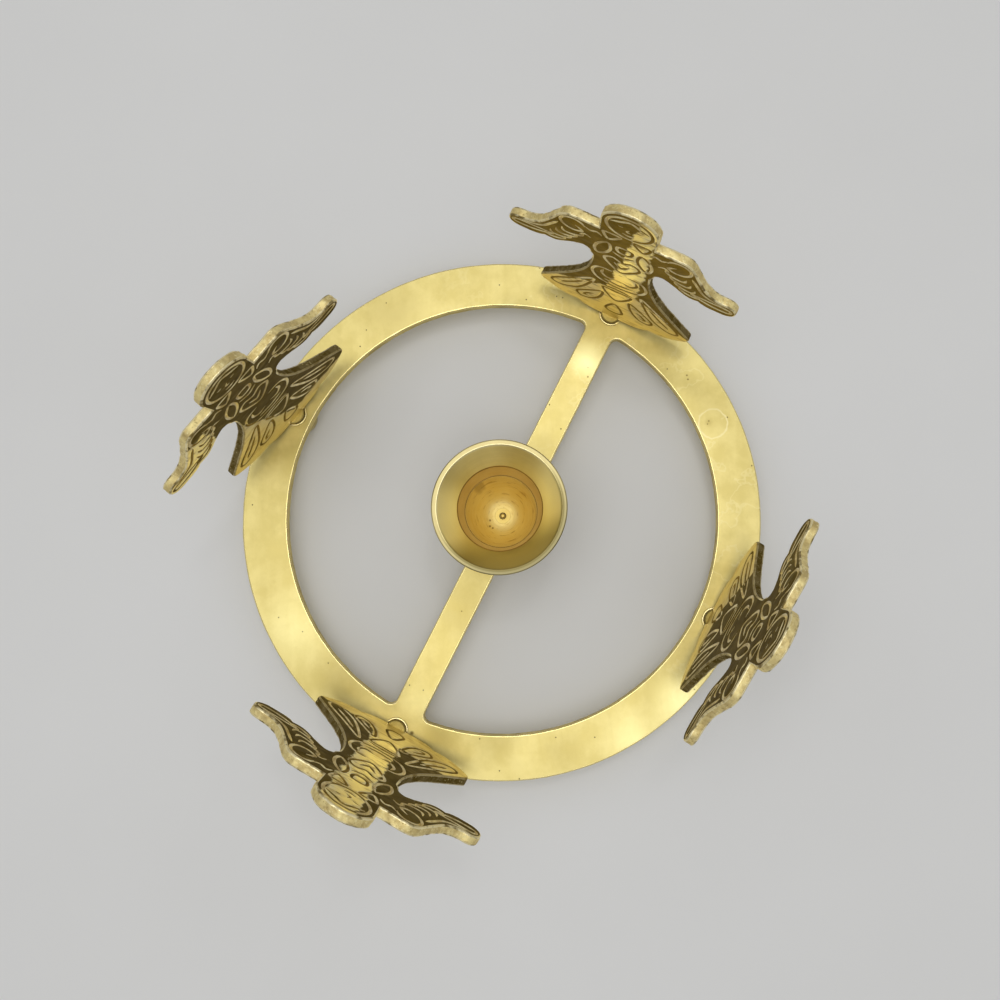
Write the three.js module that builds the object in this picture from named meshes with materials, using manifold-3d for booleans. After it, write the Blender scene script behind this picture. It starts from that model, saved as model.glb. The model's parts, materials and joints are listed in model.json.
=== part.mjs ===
// Angel candle ring in brass: a flat ring with a crossbar, a candle cup screwed to the middle of the
// bar, four cast angels standing round the ring, and four turned feet whose studs hold the angels.
// Millimetres, +Z up. The crossbar lies along X, and the origin is on the table under the cup.

import * as THREE from "three";
import { mergeVertices } from "three/addons/utils/BufferGeometryUtils.js";
import Module from "manifold-3d";

// Ring and crossbar, one plate
const RING_OUTER_D = 150;
const RING_BAND = 12.8;
const PLATE_T = 3;
const PLATE_EDGE = 0.4;
const BAR_WIDTH = 8.8;
const BAR_OFFSET = -0.8;
const BAR_CORNER_R = 2;

// Feet: a turned bun under the ring, with a stud up through the plate into the angel's boss
const FOOT_H = 8.5;
const FOOT_D = 9;
const FOOT_BASE_D = 6.4;
const FOOT_NECK_D = 6.6;
const FOOT_COLLAR_D = 8.4;
const FOOT_COLLAR_H = 1.4;
const BUN_FROM_DEG = -60;
const BUN_TO_DEG = 50;
const STUD_D = 3;
const STUD_REACH = 2.4;
const STUD_TIP = 0.5;

// Candle cup: a turned socket with a funnel for the drips
const CUP_H = 32;
const CUP_RIM_D = 34.6;
const CUP_LIP = 1.4;
const CUP_WALL = 1.6;
const CUP_BASE_D = 20;
const CUP_FLOOR_T = 5;
const CUP_FLOOR_CORNER = 5;
const MOUTH_D = 22;
const SOCKET_END_D = 20;
const FUNNEL_DEPTH = 5;
const CUP_HEEL_DEG = -60;
const LIP_FROM_DEG = -45;
const LIP_TO_DEG = 135;

// Slotted screw that holds the cup from under the bar, its tip showing in the cup's floor
const SCREW_D = 4;
const SCREW_HEAD_D = 7;
const SCREW_HEAD_H = 2.2;
const SCREW_TIP = 0.8;
const SLOT_W = 1;
const SLOT_DEPTH = 1;

// Angel plate: heights are stacked from the ring's top, widths are across the whole figure
const ANGEL_T = 2.4;
const ANGEL_EDGE = 0.5;
const HEM_CLEARANCE = 1.5;
const HEM_W = 46;
const HEM_CORNER_RISE = 10;
const HEM_CORNER_R = 2.8;
const HEM_CORNER_FROM_DEG = -45;
const HEM_CORNER_TO_DEG = 35;
const HEM_LOBE_W = 23;
const HEM_NOTCH_RISE = 3.1;
const HEM_NOTCH_IN_DEG = 50;
const HEM_NOTCH_OUT_DEG = -10;
const SKIRT_H = 44.5;
const WAIST_W = 15.6;
const ARMPIT_RISE = 4.2;
const ARMPIT_R = 2;
const ARMPIT_INSET = 0.8;
const WING_SPAN = 61;
const WING_TIP_R = 3.2;
const WING_TIP_DROP = 3.2;
const WING_LOBE_DROP = 4.8;
const WING_LOBE_PLACE = 0.6;
const WING_ROOT_DEG = -20;
const WING_LOBE_IN_DEG = 20;
const WING_LOBE_OUT_DEG = -45;
const WING_TOP_W = 38;
const WING_TOP_RISE = 8.2;
const WING_TOP_DEG = 117;
const SHOULDER_RISE = 14.8;
const SHOULDER_W = 26.6;
const HEAD_RISE = 13.1;
const HEAD_W = 14.2;

// Angel boss: a round foot under the hem, with a blind hole for the stud
const BOSS_D = 6.8;
const BOSS_H = 3.6;
const BOSS_CORNER_R = 1.4;
const BOSS_HOLE_SPARE = 0.4;
const BOSS_INWARD = 1;

// How each angel stands, going round from +X: its place on the ring, then how far it is turned on its
// stud, bent outward above its boss, and tipped to one side
const STATION_DEG = [-1.2, 90.6, 180, 270.3];
const TURN_DEG = [3.5, -13.1, -4.1, -4.8];
const LEAN_DEG = [0.2, -3.4, 1.4, -0.4];
const TIP_DEG = [1.3, 1, 0.7, 0.4];

// Clearances
const STUD_CLEARANCE = 0.3;
const SEAT_GAP = 0.3;

// Facets
const RING_STEP = Math.PI / 48;
const HOLE_STEP = Math.PI / 8;
const CORNER_STEP = Math.PI / 12;
const CUP_SIDES = 40;
const FOOT_SIDES = 20;
const CURVE_STEPS = 5;
const FLOW_REACH = 0.4;

// Directions along an outline, in degrees
const OUTWARD = 0;
const UPWARD = 90;
const INWARD = 180;

const ringOuterR = RING_OUTER_D / 2;
const ringInnerR = ringOuterR - RING_BAND;
const ringTop = FOOT_H + PLATE_T;
const angelCircleR = (ringOuterR + ringInnerR) / 2 - BOSS_INWARD;
const studHoleR = STUD_D / 2 + STUD_CLEARANCE;
const screwHoleR = SCREW_D / 2 + STUD_CLEARANCE;
const waistH = HEM_CLEARANCE + SKIRT_H;
const armpitH = waistH + ARMPIT_RISE;
const shoulderH = armpitH + SHOULDER_RISE;
const angelH = shoulderH + HEAD_RISE;

const wasm = await Module();
wasm.setup();

// Boolean joins and cuts

function toSolid(geometry) {
  const bare = geometry.clone();
  bare.deleteAttribute("normal");
  bare.deleteAttribute("uv");
  const merged = mergeVertices(bare);
  const vertProperties = new Float32Array(merged.attributes.position.array);
  const triVerts = new Uint32Array(merged.index.array);
  return new wasm.Manifold(new wasm.Mesh({ numProp: 3, vertProperties, triVerts }));
}

function toGeometry(solid) {
  const mesh = solid.getMesh();
  const geometry = new THREE.BufferGeometry();
  geometry.setAttribute("position", new THREE.BufferAttribute(mesh.vertProperties, mesh.numProp));
  geometry.setIndex(new THREE.BufferAttribute(mesh.triVerts, 1));
  geometry.computeVertexNormals();
  return geometry;
}

function cut(geometry, ...tools) {
  const solids = tools.map(toSolid);
  return toGeometry(solids.reduce((whole, tool) => whole.subtract(tool), toSolid(geometry)));
}

function join(...geometries) {
  return toGeometry(geometries.map(toSolid).reduce((whole, next) => whole.add(next)));
}

// Outline helpers

// Points along an arc, from one angle to another, no further apart than the given step.
function arc(x, y, radius, from, to, step) {
  const count = Math.max(1, Math.ceil(Math.abs(to - from) / step - 1e-9));
  const points = [];
  for (let i = 0; i <= count; i += 1) {
    const angle = from + ((to - from) * i) / count;
    points.push(new THREE.Vector2(x + radius * Math.cos(angle), y + radius * Math.sin(angle)));
  }
  return points;
}

function circle(x, y, radius, step) {
  return arc(x, y, radius, 0, 2 * Math.PI, step).slice(0, -1);
}

// Carries a path on to a point in one smooth curve, leaving and arriving at the given angles.
function flow(path, x, y, leaveDeg, arriveDeg) {
  const start = path.currentPoint;
  const leave = THREE.MathUtils.degToRad(leaveDeg);
  const arrive = THREE.MathUtils.degToRad(arriveDeg);
  const reach = FLOW_REACH * Math.hypot(x - start.x, y - start.y);
  path.bezierCurveTo(
    start.x + reach * Math.cos(leave),
    start.y + reach * Math.sin(leave),
    x - reach * Math.cos(arrive),
    y - reach * Math.sin(arrive),
    x,
    y,
  );
}

// A flat plate with soft edges, its outline at full size in the middle of the thickness.
function plate(outline, holes, thickness, edge) {
  const shape = new THREE.Shape(outline);
  shape.holes = holes.map((points) => new THREE.Path(points));
  const geometry = new THREE.ExtrudeGeometry(shape, {
    depth: thickness - 2 * edge,
    bevelThickness: edge,
    bevelSize: edge,
    bevelOffset: -edge,
    bevelSegments: 1,
  });
  return geometry.translate(0, 0, edge);
}

// A turned piece: its profile is given as radius and height, and stands up along Z.
function turned(profile, sides) {
  const points = profile.map(([radius, height]) => new THREE.Vector2(radius, height));
  return new THREE.LatheGeometry(points, sides).rotateX(Math.PI / 2);
}

// A rounded stretch of a turned profile between two angles, as [radius, height] pairs.
function roundOver(x, y, radius, fromDeg, toDeg) {
  const from = THREE.MathUtils.degToRad(fromDeg);
  const to = THREE.MathUtils.degToRad(toDeg);
  return arc(x, y, radius, from, to, CORNER_STEP * 2).map((point) => [point.x, point.y]);
}

// Ring plate with the crossbar

// One half-moon opening: the bar's straight side, two filleted corners and the ring's inner edge.
function halfMoon(side) {
  const filletY = BAR_WIDTH / 2 + side * BAR_OFFSET + BAR_CORNER_R;
  const filletX = Math.sqrt((ringInnerR - BAR_CORNER_R) ** 2 - filletY ** 2);
  const meet = Math.atan2(filletY, filletX);
  const points = [
    ...arc(filletX, filletY, BAR_CORNER_R, -Math.PI / 2, meet, CORNER_STEP),
    ...arc(0, 0, ringInnerR, meet, Math.PI - meet, RING_STEP).slice(1, -1),
    ...arc(-filletX, filletY, BAR_CORNER_R, Math.PI - meet, (3 * Math.PI) / 2, CORNER_STEP),
  ];
  return points.map((point) => new THREE.Vector2(point.x, side * point.y));
}

function ringPlateGeometry() {
  const studHoles = STATION_DEG.map((angle, index) => {
    const place = stationPlace(index);
    return circle(place.x, place.y, studHoleR, HOLE_STEP);
  });
  const holes = [halfMoon(1), halfMoon(-1), circle(0, 0, screwHoleR, HOLE_STEP), ...studHoles];
  return plate(circle(0, 0, ringOuterR, RING_STEP), holes, PLATE_T, PLATE_EDGE);
}

// Where an angel and its foot stand on the ring.
function stationAngle(index) {
  return THREE.MathUtils.degToRad(STATION_DEG[index]);
}

function stationPlace(index) {
  const angle = stationAngle(index);
  return new THREE.Vector2(angelCircleR * Math.cos(angle), angelCircleR * Math.sin(angle));
}

// Candle cup

function candleCupGeometry() {
  const rimR = CUP_RIM_D / 2;
  const lipR = CUP_LIP / 2;
  const mouthR = MOUTH_D / 2;
  const socketR = SOCKET_END_D / 2;
  const mouthH = CUP_H - FUNNEL_DEPTH;
  const baseR = CUP_BASE_D / 2;
  const bellyR = socketR + CUP_WALL;
  const bellyH = CUP_FLOOR_T + CUP_FLOOR_CORNER;
  const profile = [
    [screwHoleR, 0],
    [baseR, 0],
    ...roundOver(bellyR - CUP_WALL, CUP_WALL, CUP_WALL, CUP_HEEL_DEG, OUTWARD),
    [bellyR, bellyH],
    [mouthR + CUP_WALL, mouthH - CUP_WALL],
    ...roundOver(rimR - lipR, CUP_H - lipR, lipR, LIP_FROM_DEG, LIP_TO_DEG),
    [mouthR, mouthH],
    ...roundOver(socketR - CUP_FLOOR_CORNER, bellyH, CUP_FLOOR_CORNER, OUTWARD, -UPWARD),
    [screwHoleR, CUP_FLOOR_T],
    [screwHoleR, 0],
  ];
  return turned(profile, CUP_SIDES);
}

function cupScrewGeometry() {
  const headR = SCREW_HEAD_D / 2;
  const shankR = SCREW_D / 2;
  const headTop = -PLATE_T;
  const tipH = CUP_FLOOR_T + SCREW_TIP;
  const profile = [
    [0, headTop - SCREW_HEAD_H],
    [headR - PLATE_EDGE, headTop - SCREW_HEAD_H],
    [headR, headTop - SCREW_HEAD_H + PLATE_EDGE],
    [headR, headTop],
    [shankR, headTop],
    [shankR, tipH - SCREW_TIP / 2],
    [shankR / 2, tipH],
    [0, tipH],
  ];
  const slot = new THREE.BoxGeometry(2 * SCREW_HEAD_D, SLOT_W, 2 * SLOT_DEPTH);
  slot.translate(0, 0, headTop - SCREW_HEAD_H);
  return cut(turned(profile, FOOT_SIDES), slot);
}

// Angels

// Right half of the silhouette, from the middle of the hem up to the top of the head.
function angelHalfOutline() {
  const hemCornerX = HEM_W / 2 - HEM_CORNER_R;
  const hemCornerH = HEM_CLEARANCE + HEM_CORNER_RISE;
  const cornerFrom = THREE.MathUtils.degToRad(HEM_CORNER_FROM_DEG);
  const cornerTo = THREE.MathUtils.degToRad(HEM_CORNER_TO_DEG);
  const armpitX = WAIST_W / 2 + ARMPIT_INSET + ARMPIT_R;
  const tipX = WING_SPAN / 2 - WING_TIP_R;
  const tipH = armpitH - WING_TIP_DROP;
  const headR = HEAD_W / 2;

  const path = new THREE.Path();
  path.moveTo(0, HEM_CLEARANCE);
  flow(path, HEM_LOBE_W / 2, HEM_CLEARANCE + HEM_NOTCH_RISE, OUTWARD, HEM_NOTCH_IN_DEG);
  flow(
    path,
    hemCornerX + HEM_CORNER_R * Math.cos(cornerFrom),
    hemCornerH + HEM_CORNER_R * Math.sin(cornerFrom),
    HEM_NOTCH_OUT_DEG,
    HEM_CORNER_FROM_DEG + UPWARD,
  );
  path.absarc(hemCornerX, hemCornerH, HEM_CORNER_R, cornerFrom, cornerTo);
  flow(path, WAIST_W / 2, waistH, HEM_CORNER_TO_DEG + UPWARD, UPWARD);
  flow(path, armpitX - ARMPIT_R, armpitH - ARMPIT_R, UPWARD, UPWARD);
  path.absarc(armpitX, armpitH - ARMPIT_R, ARMPIT_R, Math.PI, Math.PI / 2, true);
  flow(
    path,
    armpitX + (tipX - armpitX) * WING_LOBE_PLACE,
    armpitH - WING_LOBE_DROP,
    WING_ROOT_DEG,
    WING_LOBE_IN_DEG,
  );
  flow(path, tipX, tipH - WING_TIP_R, WING_LOBE_OUT_DEG, OUTWARD);
  path.absarc(tipX, tipH, WING_TIP_R, -Math.PI / 2, Math.PI / 2);
  flow(path, WING_TOP_W / 2, armpitH + WING_TOP_RISE, INWARD, WING_TOP_DEG);
  flow(path, SHOULDER_W / 2, shoulderH, WING_TOP_DEG, INWARD);
  path.lineTo(headR, shoulderH);
  path.lineTo(headR, angelH - headR);
  path.absarc(0, angelH - headR, headR, 0, Math.PI / 2);
  return path.getPoints(CURVE_STEPS);
}

// The cast plate stands on edge across the ring's band, joined to its round boss.
function angelGeometry(leanDeg, tipDeg) {
  const half = angelHalfOutline();
  const mirrored = half
    .slice(1, -1)
    .reverse()
    .map((point) => new THREE.Vector2(-point.x, point.y));
  const figure = plate([...half, ...mirrored], [], ANGEL_T, ANGEL_EDGE);
  figure.translate(0, 0, -ANGEL_T / 2).rotateX(Math.PI / 2);
  figure.rotateY(-THREE.MathUtils.degToRad(tipDeg)).rotateX(-THREE.MathUtils.degToRad(leanDeg));

  const bossR = BOSS_D / 2;
  const corner = roundOver(bossR - BOSS_CORNER_R, BOSS_H - BOSS_CORNER_R, BOSS_CORNER_R, OUTWARD, UPWARD);
  const bossProfile = [[0, SEAT_GAP], [bossR, SEAT_GAP], ...corner, [0, BOSS_H]];
  const boss = turned(bossProfile, FOOT_SIDES);
  const holeTop = STUD_REACH + BOSS_HOLE_SPARE;
  const hole = new THREE.CylinderGeometry(studHoleR, studHoleR, 2 * holeTop, FOOT_SIDES);
  return cut(join(figure, boss), hole.rotateX(Math.PI / 2));
}

// Feet

function footGeometry() {
  const baseR = FOOT_BASE_D / 2;
  const bellyR = FOOT_D / 2;
  const neckR = FOOT_NECK_D / 2;
  const collarR = FOOT_COLLAR_D / 2;
  const studR = STUD_D / 2;
  const collarH = FOOT_H - FOOT_COLLAR_H;
  const bunR = collarH / 2;
  const studTop = ringTop + STUD_REACH;
  const bun = roundOver(0, 0, 1, BUN_FROM_DEG, BUN_TO_DEG).map(([across, along]) => {
    const floorR = along < 0 ? baseR : neckR;
    return [floorR + (bellyR - floorR) * across, bunR + bunR * along];
  });
  const profile = [
    [0, 0],
    [baseR, 0],
    ...bun,
    [neckR, collarH],
    [collarR, collarH],
    [collarR, FOOT_H],
    [studR, FOOT_H],
    [studR, studTop - STUD_TIP],
    [studR - STUD_TIP, studTop],
    [0, studTop],
  ];
  return turned(profile, FOOT_SIDES);
}

// Assembly

function finish(color, roughness) {
  return new THREE.MeshStandardMaterial({ color, roughness, metalness: 1 });
}

function piece(name, geometry, material) {
  const mesh = new THREE.Mesh(geometry, material);
  mesh.name = name;
  return mesh;
}

const part = new THREE.Group();

const ringPlate = piece("ring_plate", ringPlateGeometry(), finish(0xd7c373, 0.35));
ringPlate.position.z = FOOT_H;
part.add(ringPlate);

const cupGroup = new THREE.Group();
cupGroup.position.z = ringTop;
cupGroup.add(piece("candle_cup", candleCupGeometry(), finish(0xb09a4c, 0.4)));
cupGroup.add(piece("cup_screw", cupScrewGeometry(), finish(0xc9ae62, 0.35)));
part.add(cupGroup);

STATION_DEG.forEach((angle, index) => {
  const number = index + 1;
  const place = stationPlace(index);

  const foot = piece(`foot_${number}`, footGeometry(), finish(0xcdb565, 0.3));
  foot.position.set(place.x, place.y, 0);
  part.add(foot);

  const station = new THREE.Group();
  station.position.set(place.x, place.y, ringTop);
  station.rotation.z = stationAngle(index) - Math.PI / 2 + THREE.MathUtils.degToRad(TURN_DEG[index]);
  const angel = angelGeometry(LEAN_DEG[index], TIP_DEG[index]);
  station.add(piece(`angel_${number}`, angel, finish(0x8a7433, 0.25)));
  part.add(station);
});

export default part;
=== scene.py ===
# Angel candle ring in cast and turned brass: its finishes, its carved angels and a plain studio.
# Lengths are millimetres up to metre_mesh(), which turns them into metres. +X lies along the crossbar.

import json
import math

import bmesh
import bpy
import numpy as np
from mathutils import Matrix, Vector, geometry, noise


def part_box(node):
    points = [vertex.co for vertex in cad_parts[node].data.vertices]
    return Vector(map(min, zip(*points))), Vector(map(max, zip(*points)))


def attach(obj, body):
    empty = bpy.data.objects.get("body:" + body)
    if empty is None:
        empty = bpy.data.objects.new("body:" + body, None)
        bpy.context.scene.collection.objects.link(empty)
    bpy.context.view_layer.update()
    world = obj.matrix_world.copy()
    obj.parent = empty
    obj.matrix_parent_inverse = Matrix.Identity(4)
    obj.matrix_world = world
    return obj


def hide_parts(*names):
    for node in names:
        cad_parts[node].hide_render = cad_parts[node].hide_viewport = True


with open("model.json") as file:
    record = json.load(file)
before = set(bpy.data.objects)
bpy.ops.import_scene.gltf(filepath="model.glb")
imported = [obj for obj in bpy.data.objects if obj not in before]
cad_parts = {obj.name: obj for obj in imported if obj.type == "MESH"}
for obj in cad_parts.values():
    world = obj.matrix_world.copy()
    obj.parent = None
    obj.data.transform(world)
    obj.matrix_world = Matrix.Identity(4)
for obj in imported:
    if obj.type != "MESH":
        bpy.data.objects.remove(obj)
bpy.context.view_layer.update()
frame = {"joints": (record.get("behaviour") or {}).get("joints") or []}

MM = 0.001

# How far the crossbar is turned from the picture's right
VIEW_TURN_DEG = 63.5

# Places read from the frame
RING_LOW, RING_HIGH = (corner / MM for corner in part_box("ring_plate"))
CUP_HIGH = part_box("candle_cup")[1] / MM
STATIONS = {joint["child"]: Vector(joint["pos_m"]) / MM for joint in frame["joints"]}
RING_TOP = RING_HIGH.z
PLATE_T = RING_HIGH.z - RING_LOW.z

# Ring and crossbar
RING_BAND = 12.8
BAR_WIDTH = 8.8
BAR_OFFSET = -0.8
BAR_CORNER_R = 2
RING_EDGE_R = 0.45
STUD_HOLE_R = 1.8
SCREW_HOLE_R = 2.3
RING_POINTS = 240
OPENING_STEP = 0.8
BAR_POINTS = 120
RING_ROUGH = [(3.5, 0.07), (0.9, 0.05)]

# Candle cup
CUP_H = CUP_HIGH.z - RING_TOP
CUP_RIM_SPREAD = 0.2
CUP_RIM_R = CUP_HIGH.x + CUP_RIM_SPREAD
LIP_R = 0.4
LIP_W = 1.3
LIP_CREASE_R = 0.2
LIP_CREASE_DROP = 0.3
CUP_WALL = 1.6
CUP_BASE_R = 10
FLOOR_T = 5
MOUTH_R = 11
MOUTH_BEVEL = 0.25
SOCKET_END_R = 10
SOCKET_STEP_DEPTH = 8
SOCKET_LEDGE = 0.4
BOWL_FLAT_R = 2.4
BOWL_DEPTH = 9
FUNNEL_DEPTH = 5
CUP_SIDES = 160
CUP_LEAN_DEG = 2.5
CUP_SHIFT = (-0.1, -0.45)

# Screw up through the bar
SCREW_R = 2.2
SCREW_FIT = 0.02
SCREW_HEAD_R = 3.5
SCREW_HEAD_H = 2.2
SCREW_HEAD_EDGE = 0.4
NIB_R = 0.5
NIB_H = 0.45
NIB_EDGE = 0.25
NIB_GROOVE_W = 0.5
NIB_GROOVE_DEPTH = 0.3
SLOT_W = 1
SLOT_DEPTH = 1

# Feet
FOOT_H = RING_LOW.z
FOOT_BASE_R = 3.2
FOOT_BELLY_R = 4.5
FOOT_NECK_R = 3.3
FOOT_COLLAR_R = 4.2
FOOT_COLLAR_H = 1.4
FOOT_EDGE = 0.3
FOOT_CREASE = 0.25
FOOT_BUN_DEG = 55
COLLAR_BEVEL = 0.15
STUD_R = 1.5
STUD_REACH = 1.3
STUD_TIP = 0.5
FOOT_SIDES = 72

# Angel silhouette, heights counted from the top of the ring
ANGEL_T = 2.4
ANGEL_EDGE_R = 0.42
ANGEL_ROUGH = [(2.6, 0.16), (0.7, 0.12)]
HEM_H = 1.5
HEM_W = 46
HEM_CORNER_H = 11.5
HEM_CORNER_R = 2.8
HEM_CORNER_FROM_DEG = -45
HEM_CORNER_TO_DEG = 35
HEM_LOBE_W = 23
HEM_NOTCH_H = 4.6
HEM_NOTCH_IN_DEG = 50
HEM_NOTCH_OUT_DEG = -10
WAIST_H = 46
WAIST_W = 15.6
ARMPIT_H = 50.2
ARMPIT_R = 2
ARMPIT_INSET = 0.8
WING_SPAN = 61
WING_TIP_R = 3.2
WING_TIP_DROP = 3.2
WING_LOBE_DROP = 4.8
WING_LOBE_PLACE = 0.6
WING_ROOT_DEG = -20
WING_LOBE_IN_DEG = 20
WING_LOBE_OUT_DEG = -45
WING_TOP_W = 38
WING_TOP_H = 58.4
WING_TOP_DEG = 117
SHOULDER_H = 65
SHOULDER_W = 26.6
ANGEL_H = 78.1
HEAD_W = 14.2
OUTLINE_STEP = 0.4
FLOW_REACH = 0.4
FLOW_SLACK = 1.1

# Rows of faces round a plate's edge: in each rounded corner, and down the side between them
EDGE_STEPS = 3
WALL_ROWS = 4

# A corner's normal is divided by no less than this, so that sharp corners don't run far out
CORNER_LEAST = 0.6

# How the finer layers of roughness follow the first: their fall, their gap and how many
ROUGH_LAYERS = (0.9, 2.1, 3)

# Points closer than these are one point: in millimetres on a face, and in metres in a mesh
FACE_WELD = 1e-5
MESH_WELD = 2e-7
SLIVER = 1e-8

# Boss under the hem
BOSS_R = 3.05
BOSS_H = 2.2
BOSS_CORNER_R = 0.45
BOSS_RIM_R = 3.55
BOSS_RIM_H = 0.7
BOSS_RIM_EDGE = 0.2
SEAT_GAP = 0.3
BOSS_HOLE_H = 1.45
BOSS_BORE_R = 0.01
BOSS_SIDES = 56


def each(*values):
    """One value for each angel, in the order of their names."""
    return dict(zip(sorted(STATIONS), values))


# How each angel stands: turned on its stud, bent outward above its boss, tipped to one side, and how far
# it is off the middle of its boss
TURN_DEG = each(3.5, -13.1, -4.1, -4.8)
LEAN_DEG = each(0.2, -3.4, 1.4, -0.4)
TIP_DEG = each(1.3, 1, 0.7, -0.9)
SLIP = each(0, 0, 0, -1.1)

# How far each skirt is twisted at its hem, and pushed aside and outward, fading out up to the arms
SKIRT_TWIST_DEG = each(-1.3, 0, 2.5, 3.2)
SKIRT_SHIFT = each((0.9, 0), (0, 0), (-1, 0), (-0.7, -0.8))

# How much light each boss's colour keeps: the darker bosses carry painted shade and dark reflection
BOSS_PAINTED_LIGHT = each(0.85, 1, 0.75, 0.6)

# Carved lines
LINE_HALF_W = 0.6
LINE_CORE_SHARE = 0.3
LINE_DEPTH = 0.42
LINE_STEP = 0.4
LINE_TAPER = 1.6
LINE_END_SHARE = 0.3
RAILS = (-1, -0.72, 0, 0.72, 1)

OPEN = False
CLOSED = True


def in_picture(x, y, z):
    """A place in metres from millimetres to the picture's right, towards its top and up from the ring."""
    turn = Matrix.Rotation(math.radians(-VIEW_TURN_DEG), 4, "Z")
    return turn @ (Vector((x, y, z + RING_TOP)) * MM)


def swing(from_deg, to_deg, count):
    """Evenly spaced angles in radians, both ends with them."""
    return [math.radians(from_deg + (to_deg - from_deg) * i / count) for i in range(count + 1)]


def arc(x, y, radius, from_deg, to_deg, step=OUTLINE_STEP, radius_y=None):
    """Points along an arc, no further apart than step."""
    radius_y = radius_y or radius
    count = max(2, math.ceil(math.radians(abs(to_deg - from_deg)) * radius / step))
    angles = swing(from_deg, to_deg, count)
    return [(x + radius * math.cos(a), y + radius_y * math.sin(a)) for a in angles]


def flow(points, x, y, leave_deg, arrive_deg):
    """Carries points on to (x, y) in one smooth curve that leaves and arrives at the given angles."""
    start = Vector(points[-1])
    end = Vector((x, y))
    reach = FLOW_REACH * (end - start).length
    leave = math.radians(leave_deg)
    arrive = math.radians(arrive_deg)
    knot = start + reach * Vector((math.cos(leave), math.sin(leave)))
    last = end - reach * Vector((math.cos(arrive), math.sin(arrive)))
    count = max(3, math.ceil((end - start).length * FLOW_SLACK / OUTLINE_STEP))
    curve = geometry.interpolate_bezier(start, knot, last, end, count + 1)
    points.extend((p.x, p.y) for p in curve[1:])


def smooth(points, closed):
    """A smooth line through a few points, sampled evenly enough for carving."""
    knots = [Vector(p) for p in points]
    spans = len(knots) if closed else len(knots) - 1
    line = []
    for i in range(spans):
        before = knots[i - 1] if closed or i else knots[0]
        start = knots[i]
        end = knots[(i + 1) % len(knots)]
        after = knots[(i + 2) % len(knots)] if closed or i + 2 < len(knots) else end
        count = max(2, math.ceil((end - start).length / LINE_STEP))
        for k in range(count):
            t = k / count
            line.append(tuple(
                0.5 * (2 * b + (c - a) * t + (2 * a - 5 * b + 4 * c - d) * t ** 2
                       + (3 * b - a - 3 * c + d) * t ** 3)
                for a, b, c, d in zip(before, start, end, after)
            ))
    if not closed:
        line.append(tuple(knots[-1]))
    return line


def mirrored(points):
    return [(-x, y) for x, y in points]


# Angel silhouette and carving

def angel_outline():
    """The whole silhouette, counter-clockwise, from the middle of the hem."""
    corner_x = HEM_W / 2 - HEM_CORNER_R
    armpit_x = WAIST_W / 2 + ARMPIT_INSET + ARMPIT_R
    tip_x = WING_SPAN / 2 - WING_TIP_R
    tip_h = ARMPIT_H - WING_TIP_DROP
    head_r = HEAD_W / 2

    half = [(0, HEM_H)]
    flow(half, HEM_LOBE_W / 2, HEM_NOTCH_H, 0, HEM_NOTCH_IN_DEG)
    corner = arc(corner_x, HEM_CORNER_H, HEM_CORNER_R, HEM_CORNER_FROM_DEG, HEM_CORNER_TO_DEG)
    flow(half, *corner[0], HEM_NOTCH_OUT_DEG, HEM_CORNER_FROM_DEG + 90)
    half += corner[1:]
    flow(half, WAIST_W / 2, WAIST_H, HEM_CORNER_TO_DEG + 90, 90)
    flow(half, armpit_x - ARMPIT_R, ARMPIT_H - ARMPIT_R, 90, 90)
    half += arc(armpit_x, ARMPIT_H - ARMPIT_R, ARMPIT_R, 180, 90)[1:]
    lobe_x = armpit_x + (tip_x - armpit_x) * WING_LOBE_PLACE
    flow(half, lobe_x, ARMPIT_H - WING_LOBE_DROP, WING_ROOT_DEG, WING_LOBE_IN_DEG)
    flow(half, tip_x, tip_h - WING_TIP_R, WING_LOBE_OUT_DEG, 0)
    half += arc(tip_x, tip_h, WING_TIP_R, -90, 90)[1:]
    flow(half, WING_TOP_W / 2, WING_TOP_H, 180, WING_TOP_DEG)
    flow(half, SHOULDER_W / 2, SHOULDER_H, WING_TOP_DEG, 180)
    flow(half, head_r, SHOULDER_H, 180, 180)
    flow(half, head_r, ANGEL_H - head_r, 90, 90)
    half += arc(0, ANGEL_H - head_r, head_r, 0, 90)[1:]
    return half + mirrored(half[-2:0:-1])


# Lines on the right half, which the left half mirrors
SIDE_LINES = [
    (CLOSED, [(1.6, 64), (3.8, 64.5), (5.9, 64), (4.4, 60.8)]),
    (OPEN, [(6, 60.6), (7.4, 61.8), (9, 61), (10.4, 62.2)]),
    (OPEN, arc(13.4, 60.4, 3.2, 160, -140, LINE_STEP) + [(11.6, 59.4), (12.8, 60.4)]),
    (OPEN, [(8.6, 56.6), (10.2, 57.4), (11.6, 56.2)]),
    (OPEN, [(17.2, 58), (18.9, 54.9), (21.2, 51.2), (24.6, 49.4), (27.6, 49.2)]),
    (CLOSED, [(18.6, 48.4), (24, 48.3), (28.6, 48), (28.8, 46.2), (24, 46.2)]),
    (CLOSED, [(4.4, 58.2), (6.7, 55.6), (7.5, 52.2), (6.6, 49.5), (4.5, 51.6), (3.5, 55)]),
    (OPEN, [(4.5, 38.8), (4.9, 36.2), (3.3, 34.2), (1, 35)]),
    (CLOSED, [(7, 28.4), (12.8, 21.6), (18.4, 15), (19.4, 12),
              (16.4, 11.2), (11.8, 15), (8.8, 21.2)]),
    (OPEN, [(10, 22.6), (13, 18), (16.6, 13.8)]),
    (CLOSED, [(4.2, 20.8), (8.4, 16.6), (11.6, 12.2), (10.4, 9.6), (7.4, 10.6), (4.8, 15.2)]),
    (OPEN, [(6.6, 16), (8.6, 13.6), (9.4, 11.8), (8, 12.2)]),
    (OPEN, [(1.5, 70.8), (2.7, 70.9)]),
]
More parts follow.
